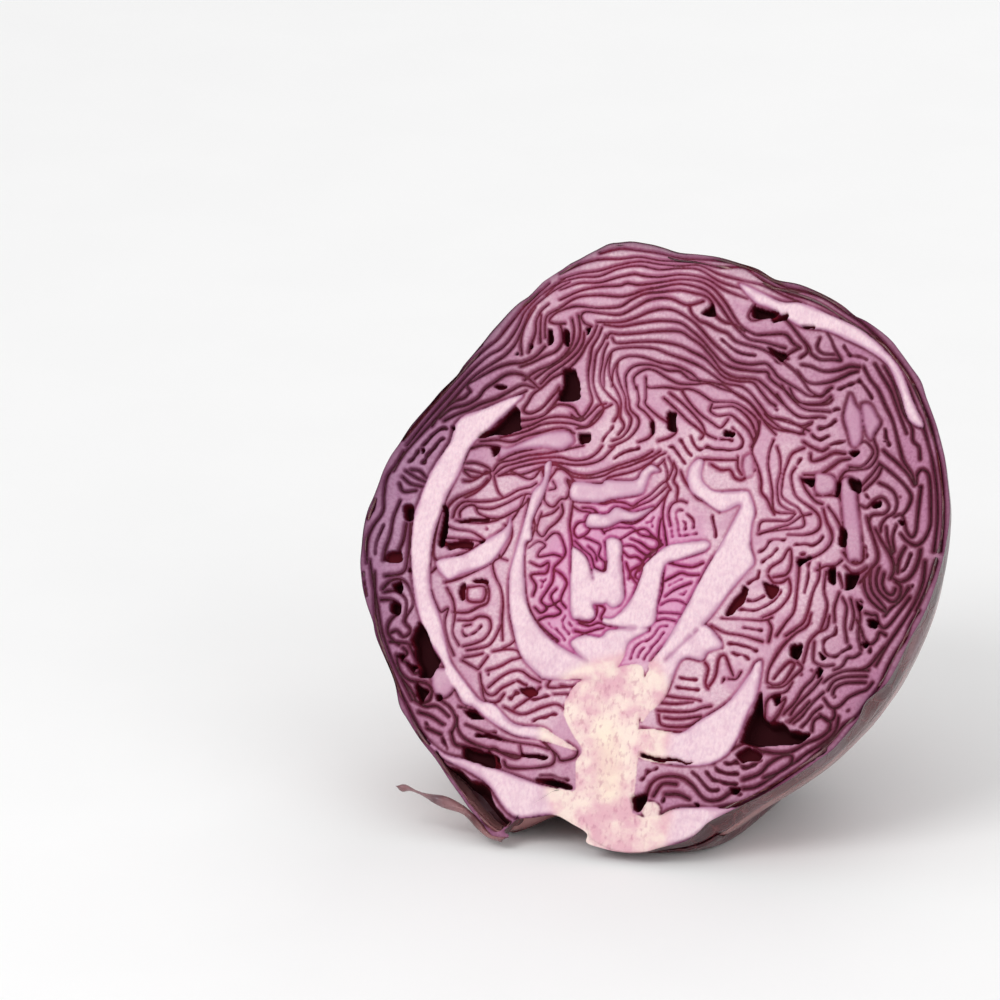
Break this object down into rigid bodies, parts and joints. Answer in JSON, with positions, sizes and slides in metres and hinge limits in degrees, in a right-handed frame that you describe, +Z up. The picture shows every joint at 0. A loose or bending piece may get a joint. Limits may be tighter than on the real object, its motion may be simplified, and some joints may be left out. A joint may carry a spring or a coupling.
{
  "type": "half red cabbage",
  "caption": "Half of a red cabbage head, cut down through its stem, with folded leaves packed round a white core.",
  "frame": {"origin": "middle of the part's footprint, on the surface that it lies on", "axes": "+Z up, -Y towards the side that the cut face leans back from, +X to the right when looking at the cut face"},
  "size_m": [0.1578, 0.1276, 0.1427],
  "materials": {
    "purple_skin": "waxy leaf skin, dark maroon",
    "purple_flesh": "cut leaf, lavender flesh between dark skins",
    "white_rib": "cut stem and rib, moist cream white"
  },
  "bodies": {
    "root": {"core": "white_rib", "heart_leaves": "purple_flesh", "leaf_01": "purple_flesh", "leaf_02": "purple_flesh", "leaf_03": "purple_flesh", "leaf_04": "purple_flesh", "leaf_05": "purple_flesh", "leaf_06": "purple_flesh", "leaf_07": "purple_flesh", "leaf_08": "purple_flesh", "leaf_09": "purple_flesh", "leaf_10": "purple_flesh", "leaf_11": "purple_flesh", "leaf_12": "purple_flesh", "leaf_13": "purple_flesh", "leaf_14": "purple_flesh", "leaf_15": "purple_flesh", "torn_leaf": "purple_skin", "wrapper_leaf_back": "purple_skin", "wrapper_leaf_left": "purple_skin", "wrapper_leaf_right": "purple_skin"}
  },
  "joints": []
}
